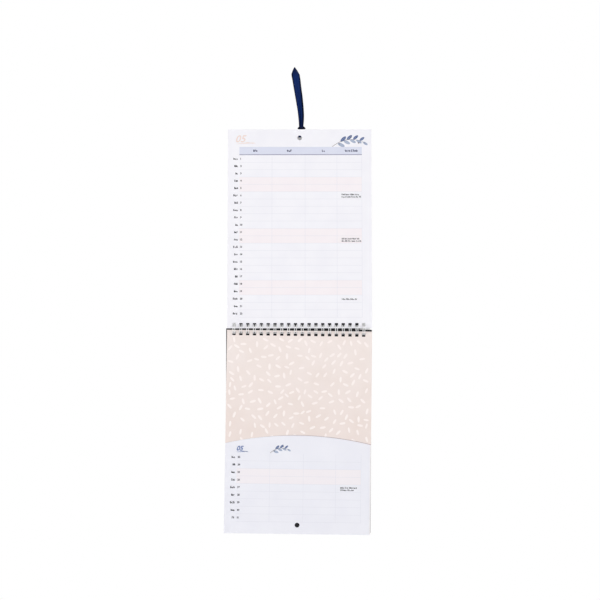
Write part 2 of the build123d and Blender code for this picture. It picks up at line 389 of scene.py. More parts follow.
def black_card():
    """Near-black card: cloudy dye, pale fibre flecks, a pressed grain and faint rubbed streaks."""
    f = Finish("dark card")
    at = f.place()
    cloud = f.noise(at, 24, 5)
    grain = f.noise(at, 1500, 4)
    flecks = f.noise(f.place((1, 1, 0.22)), 1900, 2).between(0.66, 0.74)
    streaks = f.noise(f.place((1, 1, 9)), 16, 4).between(0.56, 0.72)
    base = f.mix(cloud.between(0.3, 0.7), tone(13, 12, 16), tone(26, 25, 31))
    base = f.mix(flecks * 0.5, base, tone(88, 88, 98))
    base = f.mix(streaks * 0.22, base, tone(52, 52, 60))
    return f.surface(
        Base_Color=base,
        Roughness=0.54 + grain * 0.22 - streaks * 0.1,
        Normal=f.bump(grain + cloud, 0.5, 6e-5),
        Specular_IOR_Level=0.35,
    )


def white_coat():
    """White coated wire: smooth, with faint ripples in the coat."""
    f = Finish("white coated wire")
    at = f.place()
    ripple = f.noise(at, 900, 2)
    patch = f.noise(at, 140, 3)
    return f.surface(
        Base_Color=f.mix(patch.between(0.4, 0.7), tone(240, 240, 240), tone(229, 229, 231)),
        Roughness=0.3 + patch * 0.12,
        Normal=f.bump(ripple, 0.12, 4e-5),
        Coat_Weight=0.3,
    )


def satin(name, thread, shine, shade_tone):
    """Satin: long floats of thread along the ribbon and fine ribs across it, with painted shade along both
    edges.

    Floats are a sine of the place across the strip, and ribs a sine of the place along it. Painted shade
    darkens the tone along both edges, towards the hitch and at the crest of the fold; the last tone
    is the colour of this painted shade.
    """
    f = Finish(name)
    at = f.node("ShaderNodeTexCoord", output="UV")
    across, along, _ = f.parts(at)
    floats = (across * 620).sine()
    ribs = (along * 9000).sine()
    slubs = f.noise(f.node("ShaderNodeMapping", inputs={"Vector": at, "Scale": (46, 900, 1)}), 1, 3)
    # painted shade along both edges of the strip, which are also rougher
    edge = abs(across * 2 - 1).between(0.55, 0.88)
    base = f.mix(slubs.between(0.25, 0.8), thread, shine)
    height = f.parts(f.place())[2]
    # painted shade towards the hitch and at the crest of the fold
    gathered, crest = 1 - height.between(-0.074, -0.054), height.between(-0.014, 0.0)
    base = f.mix(edge * 0.88, base, shade_tone)
    base = f.mix(gathered * 0.5 + crest * 0.75, base, shade_tone)
    return f.surface(
        Base_Color=base,
        Roughness=0.36 + slubs * 0.16 + edge * 0.14,
        Normal=f.bump(floats * 0.35 + ribs * 0.25 + slubs, 0.35, 6e-5),
        Specular_IOR_Level=0.09,
    )


def glue_finish():
    """Dried white glue: slightly glossy, with small drags."""
    f = Finish("dried glue")
    drag = f.noise(f.place((1, 1, 0.2)), 420, 3)
    return f.surface(
        Base_Color=f.mix(drag, tone(240, 238, 234), tone(226, 223, 217)),
        Roughness=0.35 + drag * 0.2,
        Normal=f.bump(drag, 0.4, 8e-5),
    )


white_paper = paper("white paper", tone(247, 246, 251), tone(244, 243, 249), edge_step=0.16)
leaf_paper = paper("leaf paper", tone(248, 245, 246), tone(245, 242, 244))
pocket_card = paper("pocket card", tone(241, 241, 248), tone(238, 238, 246), fibre=0.3)
window_white = ink("paper in the windows", tone(254, 245, 242), tone(253, 242, 239), 0.3)
dark_card = black_card()
header_blue = ink("pale blue print", tone(223, 226, 241), tone(218, 221, 238))
slate_line = ink("slate blue print", tone(158, 158, 180), tone(144, 145, 170))
# colour of the painted shadow along the pocket's mouth
mouth_shadow_ink = ink("painted mouth shadow", tone(196, 176, 180), tone(182, 162, 168))
weekend_pink = ink("pale pink print", tone(249, 243, 246), tone(247, 240, 244))
pocket_pink = ink("pale pink print on card", tone(245, 240, 244), tone(243, 238, 243))
rule_grey = ink("fine grey print", tone(229, 229, 238), tone(223, 223, 233))
row_grey = ink("row line print", tone(227, 227, 235), tone(221, 221, 230))
number_dark = ink("dark number print", tone(34, 34, 44), tone(24, 24, 34), 0.3)
title_peach = ink("peach title print", tone(243, 226, 220), tone(236, 216, 210), 0.4)
title_slate = ink("slate title print", tone(122, 140, 184), tone(104, 122, 170), 0.4)
sprig_blue = ink("blue sprig print", tone(108, 126, 166), tone(70, 90, 134), 0.6)
sprig_pale = ink("pale sprig print", tone(180, 190, 210), tone(156, 168, 194), 0.6)
sprig_rib = ink("sprig rib print", tone(206, 214, 232), tone(192, 202, 224), 0.4)
header_ink = ink("header word print", tone(42, 50, 92), tone(32, 40, 80), 0.3)
sprig_brown = ink("brown sprig print", tone(132, 118, 112), tone(108, 94, 90), 0.5)
wire_coat = white_coat()
ribbon_satin = satin("navy satin", tone(0, 27, 82), tone(2, 41, 100), tone(0, 8, 32))
# a darker copy of the navy satin: painted shade on the hitch, which sits in the fold's shade
shaded_hitch_satin = satin("navy satin in painted shade", tone(0, 8, 28), tone(3, 16, 46), tone(0, 5, 18))
dried_glue = glue_finish()

NODE_FINISHES = {
    "front_cover": dark_card,
    "back_cover": dark_card,
    "turned_leaves": white_paper,
    "remaining_leaves": white_paper,
    "lower_leaf": leaf_paper,
    "pocket_front": pocket_card,
    "pocket_glue_left": dried_glue,
    "pocket_glue_right": dried_glue,
    "pocket_glue_foot": dried_glue,
    "header_bar": header_blue,
    "header_line": slate_line,
    "page_weekend_bands": weekend_pink,
    "pocket_weekend_bands": pocket_pink,
    "page_column_rules": rule_grey,
    "pocket_column_rules": rule_grey,
}
for name, material in NODE_FINISHES.items():
    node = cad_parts[name]
    if not node.material_slots:
        node.data.materials.append(material)
    for place in node.material_slots:
        place.material = material


# Twin-loop wire

WIRE_RADIUS, RING_RADIUS = 0.45, 5.4
HALF_TWIN = 1.15                              # from a twin loop's middle to each of its wires
BEND, STUB = 0.7, 1.5                         # quarter turn's radius, and the spine's free ends
TIP_GAP, SPINE_DEPTH = 0.25, 2.065            # from the tip to the spine, and the spine behind the ring
QUARTER_STEPS, HALF_STEPS, RING_STEPS, WIRE_SIDES = 7, 13, 56, 10


def wire_line():
    """Middle line of the whole wire in the ring's frame, as x along and y behind and z up.

    Each loop leaves the spine by a quarter turn, runs round the ring, crosses over at its tip
    by a half turn, runs back round the ring and returns to the spine by a quarter turn.
    """
    start = math.asin(SPINE_DEPTH / math.hypot(RING_RADIUS, BEND)) - math.atan(BEND / RING_RADIUS)
    end = start - 2 * math.pi + (BEND + TIP_GAP + HALF_TWIN) / RING_RADIUS
    quarter = np.linspace(0, math.pi / 2, QUARTER_STEPS)
    half = np.linspace(0, math.pi, HALF_STEPS)
    ring = np.linspace(start, end, RING_STEPS)[1:-1]
    x = [BEND * (np.sin(quarter) - 1) - HALF_TWIN, np.full(len(ring), -HALF_TWIN), -HALF_TWIN * np.cos(half)]
    angle = [np.full(len(quarter), start), ring, np.full(len(half), end)]
    along = [BEND * np.cos(quarter), np.zeros(len(ring)), -HALF_TWIN * np.sin(half)]
    x, angle, along = (np.concatenate(v) for v in (x, angle, along))
    back = slice(len(x) - len(half) - 1, None, -1)
    x = np.concatenate((x, -x[back]))
    angle, along = np.concatenate((angle, angle[back])), np.concatenate((along, along[back]))
    y = RING_RADIUS * np.sin(angle) + along * np.cos(angle)
    z = -RING_RADIUS * np.cos(angle) + along * np.sin(angle)
    line = np.stack(np.broadcast_arrays(LOOP_MIDDLES[:, None] + x, y, z), -1).reshape(-1, 3)
    first, last = line[0] - (STUB, 0, 0), line[-1] + (STUB, 0, 0)
    return np.concatenate((first[None], line, last[None]))


def tube(line, radius, sides):
    """Points of a round tube with domed ends, on a line that winds about the X axis.

    Each section is a circle square to the line, whose first axis points away from the X axis.
    """
    run = np.gradient(line, axis=0)
    run /= np.linalg.norm(run, axis=1)[:, None]
    outward = line * (0, 1, 1)
    aside = np.cross(run, outward)
    aside /= np.linalg.norm(aside, axis=1)[:, None]
    outward = np.cross(aside, run)
    dome = np.array((0.02, 0.5, 0.87))
    reach = np.sqrt(1 - dome**2)
    size = np.concatenate((dome, np.ones(len(line)), dome[::-1])) * radius
    ends = np.concatenate((line[:1] - reach[:, None] * radius * run[0], line,
                           line[-1:] + reach[::-1, None] * radius * run[-1]))
    pick = np.clip(np.arange(len(ends)) - len(dome), 0, len(line) - 1)
    turn = (np.arange(sides) / sides * 2 * math.pi)[:, None]
    section = np.cos(turn) * outward[pick][:, None] + np.sin(turn) * aside[pick][:, None]
    return ends[:, None] + section * size[:, None, None]


wire_points = tube(wire_line(), WIRE_RADIUS, WIRE_SIDES)
wire_rings = len(wire_points)
wire_x, wire_y, wire_z = wire_points.reshape(-1, 3).T
wire_faces = grid_faces(wire_rings, WIRE_SIDES, closed=True).tolist()
wire_faces.append(list(range(WIRE_SIDES - 1, -1, -1)))
wire_faces.append(list(range((wire_rings - 1) * WIRE_SIDES, wire_rings * WIRE_SIDES)))
wire = make_piece(
    "twin_loop_wire", WIRE.place(wire_x, wire_z, wire_y), wire_faces, wire_coat, "root", "wire", smooth=True,
)
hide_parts("wire_binding")


# Satin ribbon

RIBBON_WIDTH, RIBBON_THICKNESS, RIBBON_COLUMNS, PLEATS = 10.0, 0.25, 25, 5
COLLAR_HEIGHT, SHOULDER_HEIGHT = -77.5, -8.8
COLLAR_SHIFT = 2.4                            # of the gathered ribbon, right of the hole in the cover
HITCH_X, HITCH_HEIGHT, HITCH_REACH = RING_CENTRE[0] + PAGE_MIDDLE + COLLAR_SHIFT, -77.2, 5.1
HITCH_ROWS, HITCH_SIDES = 41, 48
BAND_DEPTHS = (1.64, 2.34)                    # before and behind the front cover
HOLE_HEIGHT = UPPER_TOP - 10.8 + 1.5          # where the ribbon goes through, above the hole's middle

# The loop's edges as (height, x), and the roof of its fold as (x, height)
LEFT_EDGE = (
    (-77.5, 5.6), (-74.1, 5.6), (-66.1, 5.0), (-53.9, 3.5),
    (-42.3, 1.5), (-27.8, -1.0), (-17.7, -2.7), (-8.8, -4.2),
)
RIGHT_EDGE = (
    (-77.5, 10.9), (-74.1, 10.9), (-67.6, 11.6), (-60.4, 11.8), (-49.5, 11.2),
    (-37.2, 10.1), (-23.5, 8.3), (-15.5, 7.5), (-8.8, 6.3),
)
ROOF = (
    (-4.2, -8.8), (-2.4, -3.7), (-1.2, -1.0), (-0.3, 0.45),
    (0.4, 0.45), (1.3, -1.1), (3.0, -3.4), (6.3, -9.2),
)


def smooth_path(points, at):
    """Values along a polyline of (place, value) points, rounded at its corners by a short average."""
    place, value = np.array(points).T
    steps = np.linspace(-0.035, 0.035, 9)[:, None] * abs(place[-1] - place[0])
    spots = np.clip(np.asarray(at)[None] + steps, place.min(), place.max())
    return np.interp(spots, place, value).mean(0)


def ribbon_half(side, ways, u):
    """One strand of the loop, from the collar up to the fold over the hook.

    Across the strand, u runs from 0 to 1 between its measured edges. Each thread ends on the
    roof line of the fold. Seen from the side, the front strand and the rear one part like a
    drop. Waves across the strand take up the width that it loses where it is gathered.
    """
    way = ways[:, None]
    height = COLLAR_HEIGHT + (SHOULDER_HEIGHT - COLLAR_HEIGHT) * ways
    left, right = smooth_path(LEFT_EDGE, height), smooth_path(RIGHT_EDGE, height)
    open_share = (1 - ways**3) * np.clip(ways * 6, 0, 1)
    left = left + (0.6 * open_share if side > 0 else 0)
    right = right - (0 if side > 0 else 1.2 * open_share)
    x = left[:, None] + (right - left)[:, None] * u
    roof_x, roof_z = np.array(ROOF).T
    x_top = left[-1] + (right[-1] - left[-1]) * u
    rise = np.interp(x_top, roof_x, roof_z) - SHOULDER_HEIGHT
    z = height[:, None] + rise * way**7
    drop = 0.75 + 2.1 * np.sin(np.clip(way * 1.7, 0, 1) * math.pi / 2) ** 1.5
    round_top = np.sqrt(np.clip(1 - np.clip((way - 0.55) / 0.45, 0, 1) ** 5, 0, 1))
    width = (right - left)[:, None]
    slack = np.sqrt(2 * np.clip((RIBBON_WIDTH / width) ** 2 - 1, 0, None))
    phase = (u + 0.05 * np.sin(way * 5 + u * 4)) * PLEATS * math.pi + way * 2
    pleats = width / (PLEATS * math.pi) * slack * np.sin(phase)
    curl = 0.25 * (2 * u - 1) ** 2 * (1 - way**4)
    y = side * (drop * round_top + curl) + pleats * (1 - way**6)
    return np.stack(np.broadcast_arrays(x, y, z), -1)


def ribbon_tail(side, u):
    """Flat run of the ribbon on one face of the front cover, from inside the hanging hole to the collar.

    Its first rows follow a quarter turn from the middle of the hole's depth to the cover's face.
    """
    middle = sum(BAND_DEPTHS) / 2
    reach = BAND_DEPTHS[1] - middle
    quarter = np.linspace(0, math.pi / 2, 6)[:, None]
    way = np.linspace(0, 1, 12)[1:, None]
    turn_depth = middle + side * reach * np.sin(quarter)
    turn_up = HOLE_HEIGHT - 0.6 * np.cos(quarter)
    depth = np.concatenate((turn_depth, np.full_like(way, middle + side * reach)))
    up = np.concatenate((turn_up, HOLE_HEIGHT + (UPPER_TOP + 0.9 - HOLE_HEIGHT) * way))
    run = np.concatenate((np.zeros_like(quarter), way))
    x = PAGE_MIDDLE + COLLAR_SHIFT * run + (1.6 + 1.1 * run) * (2 * u - 1)
    return UPPER.place(x, up, depth + 0.04 * np.sin(u * 7 * math.pi))


def build_ribbon():
    """The whole strip: through the hole, up the front strand, over the hook and down the rear one.

    Its rows stand closer together towards the fold.
    """
    u = np.linspace(0, 1, RIBBON_COLUMNS)[None]
    ways = 1 - (1 - np.linspace(0, 1, 90)) ** 1.6
    front, rear = ribbon_half(-1, ways, u), ribbon_half(1, ways, u)
    tail_front, tail_rear = ribbon_tail(-1, u), ribbon_tail(1, u)
    join = np.linspace(0, 1, 8)[1:-1, None, None]
    join_front = tail_front[-1] + (front[0] - tail_front[-1]) * join
    join_rear = rear[0] + (tail_rear[-1] - rear[0]) * join
    strip = np.concatenate((tail_front, join_front, front, rear[-2::-1], join_rear, tail_rear[::-1]))
    lengths = np.linalg.norm(np.diff(strip[:, RIBBON_COLUMNS // 2], axis=0), axis=1)
    run = np.concatenate(([0], np.cumsum(lengths)))
    piece = make_piece(
        "satin_ribbon", strip.reshape(-1, 3), grid_faces(len(strip), RIBBON_COLUMNS), ribbon_satin,
        "root", "ribbon", smooth=True,
    )
    across, along = np.broadcast_arrays(u, run[:, None] * MM)
    put_uv(piece, across, along)
    thicken(piece, RIBBON_THICKNESS)
    return piece, run[-1]


def build_hitch():
    """The turn of ribbon pulled tight round both strands at the page's top edge.

    A rounded bar whose section is an ellipse, swollen by folds that run along it. Its upper side
    is drawn up between the strands into a thin flare that falls straight to both ends.
    """
    u = np.linspace(0, 1, HITCH_ROWS)[:, None]
    turn = np.arange(HITCH_SIDES)[None] / HITCH_SIDES * 2 * math.pi
    taper = (1 - np.abs(2 * u - 1) ** 3.2) ** 0.5
    folds = 1 + 0.09 * np.cos(turn * 5 + 0.6 * np.sin(u * 9)) + 0.03 * np.sin(u * 23 + turn * 2)
    droop = -0.45 * (2 * u - 1) ** 2
    x = HITCH_X + HITCH_REACH * (2 * u - 1)
    above = np.clip(np.sin(turn), 0, 1)
    flare = np.clip((1 - np.abs(2 * u - 1)) / 0.55, 0, 1)
    y = 1.46 * taper * folds * np.cos(turn) * (1 - 0.62 * above)
    z = HITCH_HEIGHT + droop + 1.3 * taper * folds * np.sin(turn) + 1.5 * flare * above**2
    points = np.stack(np.broadcast_arrays(x, y, z), -1)
    piece = make_piece(
        "ribbon_hitch", points.reshape(-1, 3), grid_faces(HITCH_ROWS, HITCH_SIDES, closed=True),
        shaded_hitch_satin, "root", "ribbon", smooth=True,
    )
    around, run = np.broadcast_arrays(turn / (2 * math.pi), u * 2 * HITCH_REACH * MM)
    put_uv(piece, around, run)
    return piece


ribbon, ribbon_length = build_ribbon()
hitch = build_hitch()
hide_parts("hanging_ribbon")


# Peach print with rice-grain windows, and the back card

CORNER_END = -70.0                            # where the back card's standing corner has died away
GRAIN_COUNT, GRAIN_TRIES = 190, 40
# thickness of the grains' print, and of the painted shadow along the pocket's mouth
GRAIN_INK, MOUTH_SHADOW_THICKNESS = 0.015, 0.02


def punched_sheet(name, sheet, width, start, foot, depth, thickness, finish, body, slot, corner=0.0):
    """Punched sheet as a grid whose lines follow the holes, with the holes' cells left out.

    Its middle surface lies at a depth and gets its wall from a modifier. The left edge may
    stand out at the top corner by a step that dies away downwards as a straight line does.
    """
    left = PAGE_MIDDLE - width / 2
    hole_sides = np.ravel(LOOP_MIDDLES[:, None] + np.array((-0.5, 0.5)) * PUNCH_WIDTH)
    xs = np.concatenate(([left], hole_sides, [left + width]))
    ys = np.array((EDGE_MARGIN - start, -start, -(start + PUNCH_HEIGHT), CORNER_END, foot))
    rows, columns = np.meshgrid(ys, xs, indexing="ij")
    columns[:, 0] -= corner * np.clip((ys - CORNER_END) / (ys[0] - CORNER_END), 0, 1)
    faces = grid_faces(len(ys), len(xs)).reshape(len(ys) - 1, len(xs) - 1, 4)
    keep = np.ones(faces.shape[:2], bool)
    keep[1, 1::2] = False
    points = sheet.place(columns.ravel(), rows.ravel(), depth)
    piece = make_piece(name, points, faces[keep][:, ::-1], finish, body, slot)
    thicken(piece, thickness)
    return piece


def scattered_grains(count):
    """Places, sizes and angles of the grains over the whole field.

    Each new place is the one of many random tries that lies farthest from the grains so far,
    which spreads them evenly without rows.
    """
    draw = np.random.default_rng(19)
    inset = PAGE_WIDTH / 2 - 4.0
    low = (PAGE_MIDDLE - inset, LEAF_FOOT + POCKET_SIDE + 4.0)
    high = (PAGE_MIDDLE + inset, -(LEAF_START + PUNCH_HEIGHT + 4.5))
    places = draw.uniform(low, high, (1, 2))
    for _ in range(count - 1):
        tries = draw.uniform(low, high, (GRAIN_TRIES, 2))
        apart = np.linalg.norm(tries[:, None] - places[None], axis=2).min(1)
        places = np.vstack((places, tries[apart.argmax()]))
    lengths = draw.uniform(6.4, 7.8, count)
    return np.column_stack((places, lengths, lengths * 0.38, draw.uniform(0, 180, count)))


def mouth_shadow_outline():
    """Outline of a fine line of painted shadow on the open leaf, along the pocket's mouth.

    The mouth is an arc through the pocket's upper corners and its crown. The painted shadow's lower
    side follows it, and its upper side is lifted by a width that grows over its left half.
    """
    half = PAGE_WIDTH / 2
    radius = (half**2 + POCKET_CROWN**2) / (2 * POCKET_CROWN)
    x = np.linspace(-half, half, 61)
    arc = LEAF_FOOT + POCKET_SIDE + POCKET_CROWN - radius + np.sqrt(radius**2 - x**2)
    width = 0.1 + 0.42 * np.clip((x + 50) / 45, 0, 1)
    lower, upper = (np.stack((PAGE_MIDDLE + x, y), -1) for y in (arc - 0.15, arc + width))
    return np.concatenate((lower, upper[::-1]))


peach = punched_sheet(
    "peach_print", LEAF, PAGE_WIDTH, LEAF_START, LEAF_FOOT + POCKET_SIDE, LEAF_FACE - INK / 2, INK,
    peach_ink(), "open_leaf", "peach_print",
)
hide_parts("peach_field")
back_card = punched_sheet(
    "back_card", COVER, PAGE_WIDTH + 0.2, COVER_START, EDGE_MARGIN - COVER_START - PAGE_HEIGHT,
    COVER_DEPTH, CARD_THICKNESS, dark_card, "rear_cover", "dark_card", corner=0.9,
)
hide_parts("back_cover")
grain_outlines = lenses(scattered_grains(GRAIN_COUNT), 18, 0.75)
make_piece(
    "grain_windows", *prisms(grain_outlines, LEAF, LEAF_FACE - INK, GRAIN_INK), window_white,
    "open_leaf", "paper",
)
# a fine line of painted shadow on the open leaf, above the pocket's mouth
make_piece(
    "pocket_mouth_shadow", *prisms([mouth_shadow_outline()], LEAF, LEAF_FACE - INK, MOUTH_SHADOW_THICKNESS), mouth_shadow_ink,
    "open_leaf", "peach_print",
)


# Print of the table of days

HAIR_LINE = 0.24
NUMBER_LEFT, NUMBER_HEIGHT, NUMBER_RISE = PAGE_MIDDLE - 74.3, 2.4, 0.045
DAY_WORD_RIGHT, DAY_WORD_HEIGHT = PAGE_MIDDLE - 77.2, 2.5
DAY_WORD_LENGTHS = (6.0, 4.7, 3.3, 4.6, 4.7, 6.0, 4.5)
NOTE_LEFT, NOTE_HEIGHT, NOTE_PITCH = 52.4, 1.9, 2.9
PAGE_NOTES = ((5, 2, 25, 3), (11, 2, 25, 4), (19, 1, 21, 5))       # row, lines, width, seed
POCKET_NOTES = ((4, 2, 21, 6),)
HEADER_WORDS = ((-55.6, 5.4), (-12.9, 6.4), (29.9, 4.4), (60.2, 7.0), (68.6, 8.2))    # middle, length
HEADER_WORD_RISE, HEADER_WORD_HEIGHT = 4.5, 2.7


def row_lines(name, sheet, face, top, rows, body):
    """Hair lines between the rows of the table."""
    spans = [
        (TABLE_LEFT, TABLE_RIGHT, level - HAIR_LINE / 2, level + HAIR_LINE / 2)
        for level in top - np.arange(1, rows + 1) * ROW_PITCH
    ]
    print_piece(name, bars(spans), sheet, face, row_grey, body, "rule_print")


def number_piece(name, sheet, face, entries, finish, body, slot, bold=0.045):
    """Plain numerals as thin solids; each entry is (text, left, foot, height, slant).

    An outline grows by bold on all sides before the numeral is brought to its height.
    """
    all_points, all_faces, total = [], [], 0
    for text, left, foot, height, slant in entries:
        curve = bpy.data.curves.new("numeral", "FONT")
        curve.body, curve.size, curve.extrude, curve.offset = text, 1.0, 0.5, bold
        curve.resolution_u = 3
        holder = bpy.data.objects.new("numeral", curve)
        mesh = bpy.data.meshes.new_from_object(holder)
        flat = np.empty(len(mesh.vertices) * 3)
        mesh.vertices.foreach_get("co", flat)
        flat = flat.reshape(-1, 3)
        size = height / (flat[:, 1].max() - flat[:, 1].min())
        up = (flat[:, 1] - flat[:, 1].min()) * size
        across = (flat[:, 0] - flat[:, 0].min()) * size + slant * up
        all_points.append(sheet.place(left + across, foot + up, face - (flat[:, 2] + 0.5) * NUMBER_RISE))
        all_faces += [[v + total for v in p.vertices] for p in mesh.polygons]
        total += len(flat)
        bpy.data.objects.remove(holder)
        bpy.data.meshes.remove(mesh)
        bpy.data.curves.remove(curve)
    make_piece(name, np.concatenate(all_points), all_faces, finish, body, slot)


def day_numbers(first, top, rows):
    """Day numbers, one at the middle height of each row."""
    for row in range(rows):
        foot = top - (row + 0.5) * ROW_PITCH - NUMBER_HEIGHT / 2
        yield str(first + row), NUMBER_LEFT, foot, NUMBER_HEIGHT, 0


def scribble(left, right, middle, height, draw):
    """Strokes that fill a word's place like small print without being letters.

    Each sign is an upright, sometimes short, with one or two level bars beside it.
    """
    signs = max(1, round((right - left) / (height * 0.72)))
    step = (right - left) / signs
    pen = height * 0.32
    foot = middle - height / 2
    rows = []
    for sign in range(signs):
        x = left + (sign + 0.5) * step
        tall = height if sign == 0 or draw.random() < 0.3 else height * 0.72
        rows.append((x - step * 0.22, foot + tall / 2, tall, pen, 90))
        for level in draw.sample((0.1, 0.5, 0.92), draw.choice((1, 2))):
            rows.append((x + step * 0.04, foot + tall * level, step * 0.62, pen * 0.9, 0))
        if draw.random() < 0.6:
            rows.append((x + step * 0.26, foot + tall * 0.36, tall * 0.66, pen, 90))
    return rows


def day_marks(top, rows, first_length):
    """One scribbled word before each number, where the day's name would be."""
    draw = random.Random(31)
    made = []
    for row in range(rows):
        length = DAY_WORD_LENGTHS[(first_length + row) % len(DAY_WORD_LENGTHS)]
        middle = top - (row + 0.5) * ROW_PITCH
        made += scribble(DAY_WORD_RIGHT - length, DAY_WORD_RIGHT, middle, DAY_WORD_HEIGHT, draw)
    return made


def note_lines(top, row, lines, width, seed):
    """Lines of scribbled words in the last column."""
    draw = random.Random(seed)
    made = []
    for line in range(lines):
        middle = top - (row + 0.5) * ROW_PITCH + (0.5 * (lines - 1) - line) * NOTE_PITCH - 0.5
        x, end = NOTE_LEFT, NOTE_LEFT + width * draw.uniform(0.9, 1)
        while x < end - 1.5:
            word = min(draw.uniform(2.6, 5.4), end - x)
            made += scribble(PAGE_MIDDLE + x, PAGE_MIDDLE + x + word, middle, NOTE_HEIGHT, draw)
            x += word + 0.8
    return made


def print_piece(name, outlines, sheet, face, finish, body, slot):
    """Flat print just above a face and the fields already printed on it."""
    make_piece(name, *prisms(outlines, sheet, face - INK, FINE_INK), finish, body, slot)


def flourish(x, y, reach, swell):
    """Sweeping underline: two long lens shapes that cross at a flat angle."""
    rising = (x + reach / 2, y, reach, swell, 4)
    falling = (x + reach * 0.72, y + 0.4, reach * 0.62, swell * 0.8, -9)
    return lenses([rising, falling], 24, 1.3)


row_lines("page_row_lines", UPPER, UPPER_FACE, UPPER_ROWS_TOP, UPPER_ROWS, "turned_pages")
row_lines("pocket_row_lines", LEAF, POCKET_FACE, POCKET_ROWS_TOP, POCKET_ROWS, "open_leaf")
number_piece(
    "page_day_numbers", UPPER, UPPER_FACE, day_numbers(1, UPPER_ROWS_TOP, UPPER_ROWS),
    number_dark, "turned_pages", "line_print",
)
number_piece(
    "pocket_day_numbers", LEAF, POCKET_FACE, day_numbers(UPPER_ROWS + 1, POCKET_ROWS_TOP, POCKET_ROWS),
    number_dark, "open_leaf", "line_print",
)
header_draw = random.Random(12)
header_marks = []
for middle, length in HEADER_WORDS:
    left, right = PAGE_MIDDLE + middle - length / 2, PAGE_MIDDLE + middle + length / 2
    header_marks += scribble(left, right, HEADER_FOOT + HEADER_WORD_RISE, HEADER_WORD_HEIGHT, header_draw)
page_marks = day_marks(UPPER_ROWS_TOP, UPPER_ROWS, 0)
for note in PAGE_NOTES:
    page_marks += note_lines(UPPER_ROWS_TOP, *note)
pocket_marks = day_marks(POCKET_ROWS_TOP, POCKET_ROWS, 1)
for note in POCKET_NOTES:
    pocket_marks += note_lines(POCKET_ROWS_TOP, *note)
for name, marks, sheet, face, finish, body in (
    ("header_marks", header_marks, UPPER, UPPER_FACE, header_ink, "turned_pages"),
    ("page_marks", page_marks, UPPER, UPPER_FACE, number_dark, "turned_pages"),
    ("pocket_marks", pocket_marks, LEAF, POCKET_FACE, number_dark, "open_leaf"),
):
    print_piece(name, strokes(marks), sheet, face, finish, body, "line_print")
number_piece(
    "page_title", UPPER, UPPER_FACE, [("05", PAGE_MIDDLE - 81.0, UPPER_TOP - 16.6, 9.4, 0.3)],
    title_peach, "turned_pages", "peach_print", bold=0.02,
)
print_piece(
    "page_title_flourish", flourish(PAGE_MIDDLE - 79.5, UPPER_TOP - 17.6, 24, 0.8),
    UPPER, UPPER_FACE, title_peach, "turned_pages", "peach_print",
)
number_piece(
    "pocket_title", LEAF, POCKET_FACE, [("05", PAGE_MIDDLE - 76.4, POCKET_ROWS_TOP + 3.0, 6.2, 0.3)],
    title_slate, "open_leaf", "line_print", bold=0.04,
)
print_piece(
    "pocket_title_flourish", flourish(PAGE_MIDDLE - 76.4, POCKET_ROWS_TOP + 2.0, 15, 0.8),
    LEAF, POCKET_FACE, title_slate, "open_leaf", "line_print",
)


# Leafy sprigs beside the titles

def sprig(name, sheet, face, x, y, reach, lean, leaves, size, body):
    """A curved stem with leaves on both sides and small berries, drawn as flat lens shapes.

    The stem's line is a shallow parabola; leaves stand at a set angle to it, each with a fine
    midrib, and berries hang from every third leaf's foot.
    """
    bow, leaf_angle, leaf_width, rib_width = 0.16, 34, 0.44, 0.16
    way = np.linspace(0, 1, 25)
    line = set_out(x, y, reach * way, bow * reach * (4 * way * (1 - way)), lean)
    run = np.diff(line, axis=0)
    stem = strokes(np.column_stack((
        (line[:-1] + line[1:]) / 2, np.linalg.norm(run, axis=1) * 1.4, np.linspace(0.5, 0.3, len(run)),
        np.degrees(np.arctan2(run[:, 1], run[:, 0])),
    )))
    spots = np.linspace(0.16, 0.92, leaves)
    base_x, base_y = np.interp(spots, way, line[:, 0]), np.interp(spots, way, line[:, 1])
    sides = np.where(np.arange(leaves) % 2, 1, -1)
    angle = lean + sides * leaf_angle - 12 * (spots - 0.5)
    length = size * (1.12 - 0.4 * spots)
    middle = set_out(base_x, base_y, length * 0.55, 0, angle)
    blades = np.column_stack((middle, length, length * leaf_width, angle))
    ribs = strokes(np.column_stack((middle, length * 0.8, np.full(leaves, rib_width), angle)))
    third = slice(1, None, 3)
    berry_x, berry_y = base_x[third] - sides[third] * 1.2, base_y[third] - sides[third] * size * 0.3
    berry_sizes = np.full((len(berry_x), 3), (size * 0.21, size * 0.2, 0))
    berries = strokes(np.column_stack((berry_x, berry_y, berry_sizes)))
    stalks = np.concatenate((stem, berries))
    print_piece(f"{name}_stem", stalks, sheet, face, sprig_brown, body, "line_print")
    for part, finish, chosen in (("dark", sprig_blue, sides > 0), ("pale", sprig_pale, sides < 0)):
        outlines = lenses(blades[chosen], 18, 1.2)
        print_piece(f"{name}_{part}_leaves", outlines, sheet, face, finish, body, "header_print")
    print_piece(f"{name}_ribs", ribs, sheet, face - FINE_INK, sprig_rib, body, "header_print")


sprig(
    "page_sprig", UPPER, UPPER_FACE, x=PAGE_MIDDLE + 41, y=UPPER_TOP - 22.0, reach=42, lean=6,
    leaves=9, size=9.0, body="turned_pages",
)
sprig(
    "pocket_sprig", LEAF, POCKET_FACE, x=PAGE_MIDDLE - 34, y=POCKET_ROWS_TOP + 1.0, reach=23, lean=10,
    leaves=7, size=6.4, body="open_leaf",
)


# Stage, in metres: a wall close behind the calendar and a floor, with soft light from the front

WALL_Y, FLOOR_Z, STAGE_REACH, WALL_TOP = 0.0068, -0.95, 4, 3     # the turned-up back cover reaches 6 mm back
SHADOW_X, SHADOW_Z, SHADOW_HALF_WIDTH, SHADOW_HALF_HEIGHT = 0.0063, -0.3305, 0.0868, 0.2475
# the band behind the punched row, where the wall gets painted shade
WIRE_ROW_Z, WIRE_LEFT, WIRE_RIGHT = -0.331, (-0.0735, -0.0685), (0.0795, 0.084)
LIT_MIDDLE, ROOM_LIGHT = (0, 0, -0.3), 0.616


